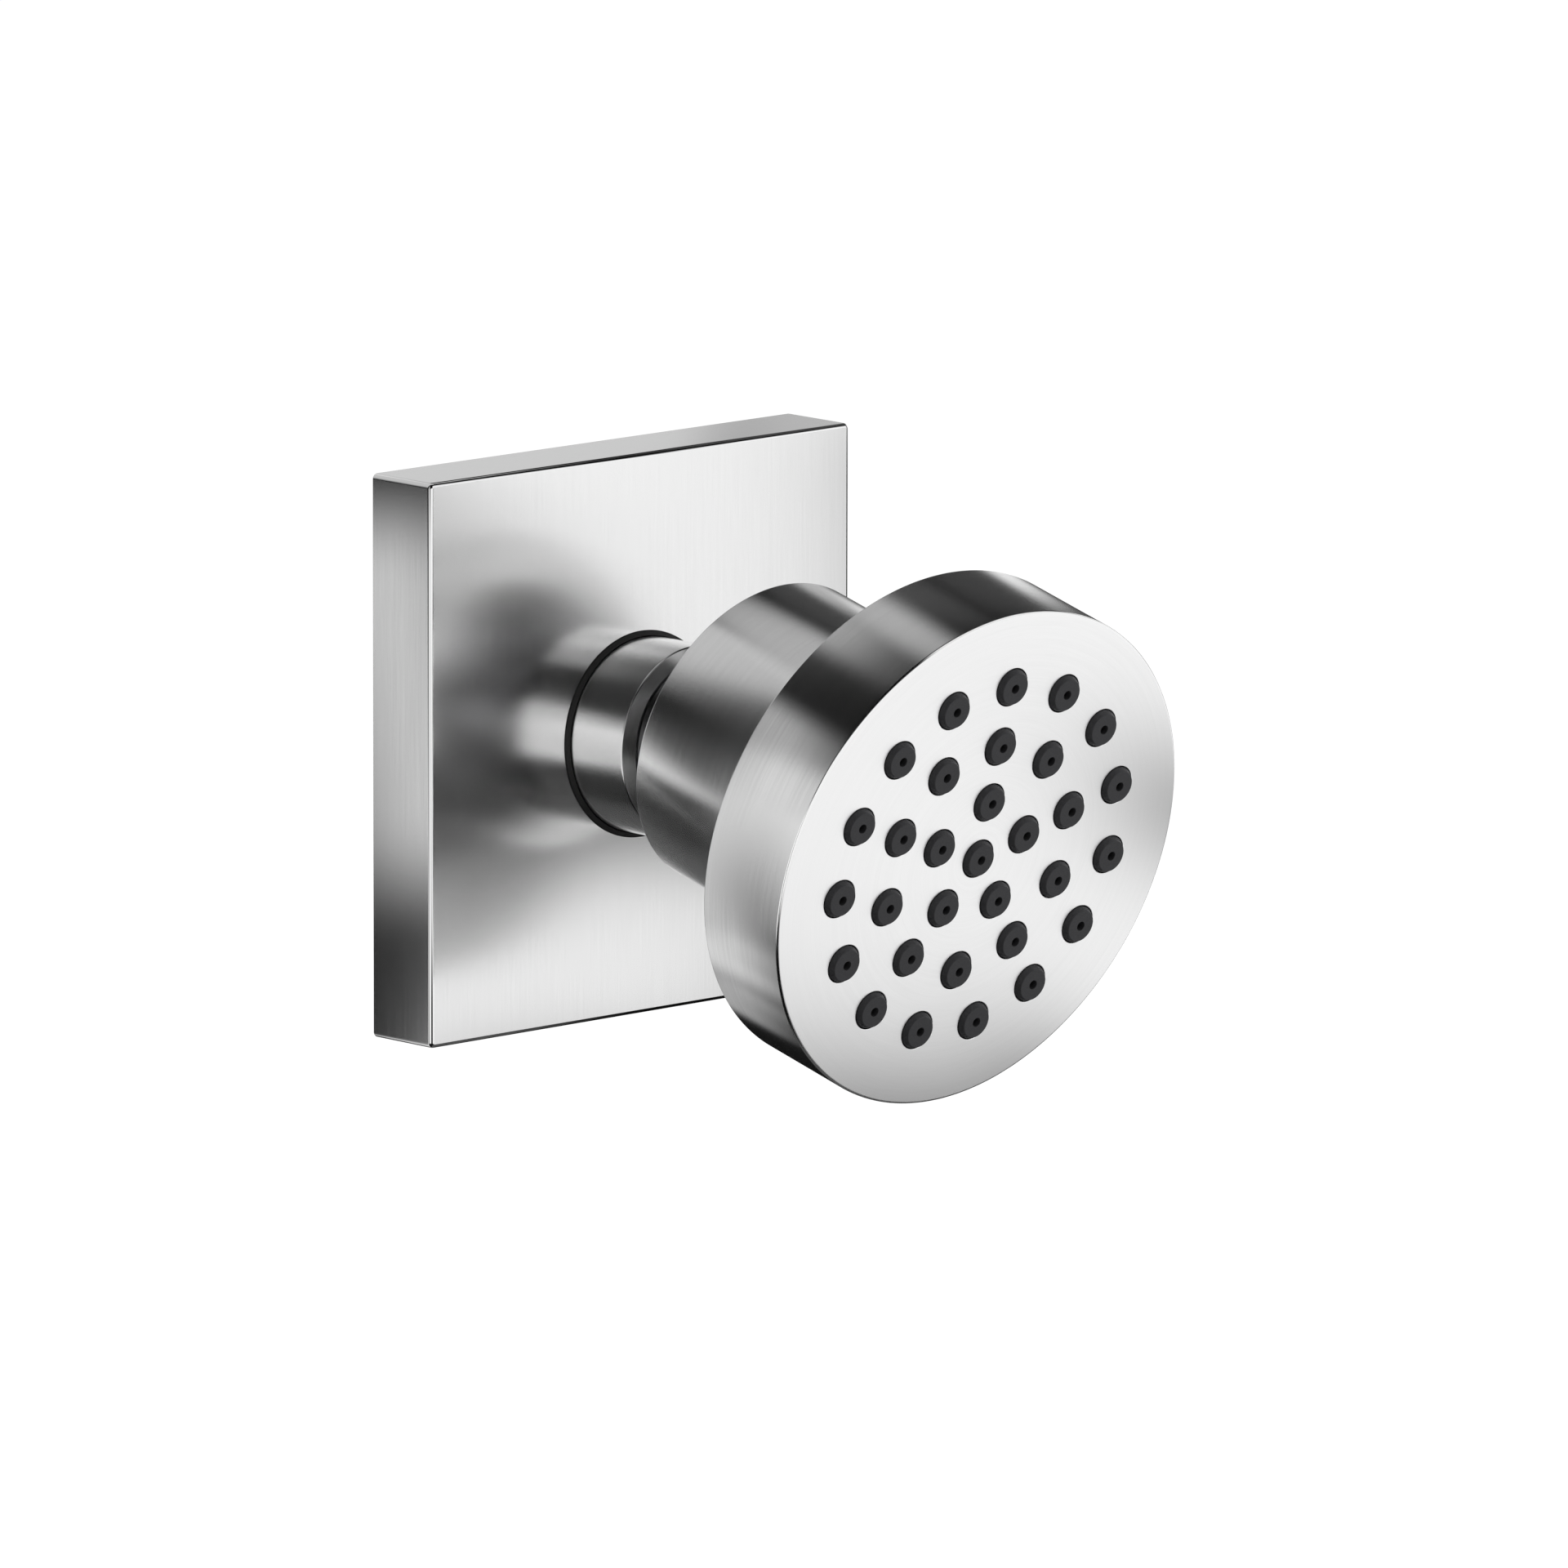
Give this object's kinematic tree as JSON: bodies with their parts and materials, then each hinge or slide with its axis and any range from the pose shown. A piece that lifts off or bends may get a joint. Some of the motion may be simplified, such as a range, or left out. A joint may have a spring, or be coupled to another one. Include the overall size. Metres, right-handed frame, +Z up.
{
  "type": "shower body jet",
  "caption": "Wall-mounted shower body jet: square flange, short threaded connector and a round spray head with soft nozzles that swivels on a ball joint.",
  "frame": {"origin": "centre of the flange's back on the wall plane, on the inlet thread's axis", "axes": "+X to the right of someone facing the wall, +Y into the wall along the inlet thread, +Z up"},
  "size_m": [0.06, 0.0806, 0.0632],
  "materials": {
    "satin_flange": "satin metal, fine upright brushing",
    "satin_turned": "satin metal, fine brushing round the axis",
    "ball_chrome": "polished plated ball and stem",
    "black_rubber": "matt black rubber",
    "nozzle_silicone": "matt dark grey silicone",
    "seat_plastic": "natural white acetal",
    "distributor_plastic": "grey moulded plastic",
    "restrictor_plastic": "white moulded plastic",
    "strainer_steel": "perforated stainless sheet",
    "spring_steel": "spring steel",
    "ring_brass": "turned brass"
  },
  "bodies": {
    "base": {"wall_flange": "satin_flange", "wall_gasket": "black_rubber", "flange_seal": "black_rubber", "connector": "satin_turned", "inlet_strainer": "strainer_steel", "flow_restrictor": "restrictor_plastic", "restrictor_ring": "black_rubber"},
    "stem": {"ball_stem": "ball_chrome", "stem_o_ring": "black_rubber"},
    "seats": {"rear_seat": "seat_plastic", "ball_seal": "black_rubber", "front_seat": "seat_plastic"},
    "head": {"head_body": "satin_turned", "disc_spring": "spring_steel", "retaining_ring": "ring_brass", "spray_cup": "satin_turned", "nozzle_mat": "nozzle_silicone", "distributor_plate": "distributor_plastic", "cup_seal": "black_rubber"}
  },
  "joints": [
    {"name": "swing", "type": "hinge", "parent": "base", "child": "stem", "pos_m": [0, -0.03615, 0], "axis": [0, -1, 0], "continuous": true},
    {"name": "tilt", "type": "hinge", "parent": "stem", "child": "seats", "pos_m": [0, -0.03615, 0], "axis": [1, 0, 0], "range_deg": [-40, 10]},
    {"name": "spin", "type": "hinge", "parent": "seats", "child": "head", "pos_m": [0, -0.03615, 0], "axis": [0, -0.9659, -0.2588], "continuous": true}
  ]
}
